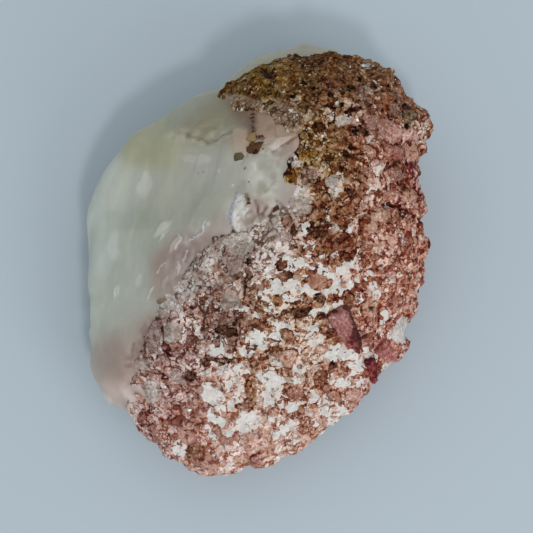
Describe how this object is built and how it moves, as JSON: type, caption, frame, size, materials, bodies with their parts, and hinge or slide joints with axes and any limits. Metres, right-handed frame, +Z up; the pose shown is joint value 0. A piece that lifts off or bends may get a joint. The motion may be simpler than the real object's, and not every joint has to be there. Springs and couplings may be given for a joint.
{
  "type": "pink tourmaline with quartz",
  "caption": "Palm-sized rough stone: a grainy crust of pink tourmaline grown over a broken body of milky quartz, lying on a flat base.",
  "frame": {"origin": "centre of the bounding box seen from above, at the height of the surface the stone rests on", "axes": "+Z up; +Y away from the viewer, along the stone's length; +X to the viewer's right, from the quartz side to the tourmaline side"},
  "size_m": [0.0481, 0.0614, 0.0254],
  "materials": {
    "milky_quartz": "glassy broken faces, cloudy inside",
    "pink_tourmaline": "granular, with small glassy grains"
  },
  "bodies": {
    "root": {"milky_quartz": "milky_quartz", "pink_tourmaline": "pink_tourmaline"}
  },
  "joints": []
}
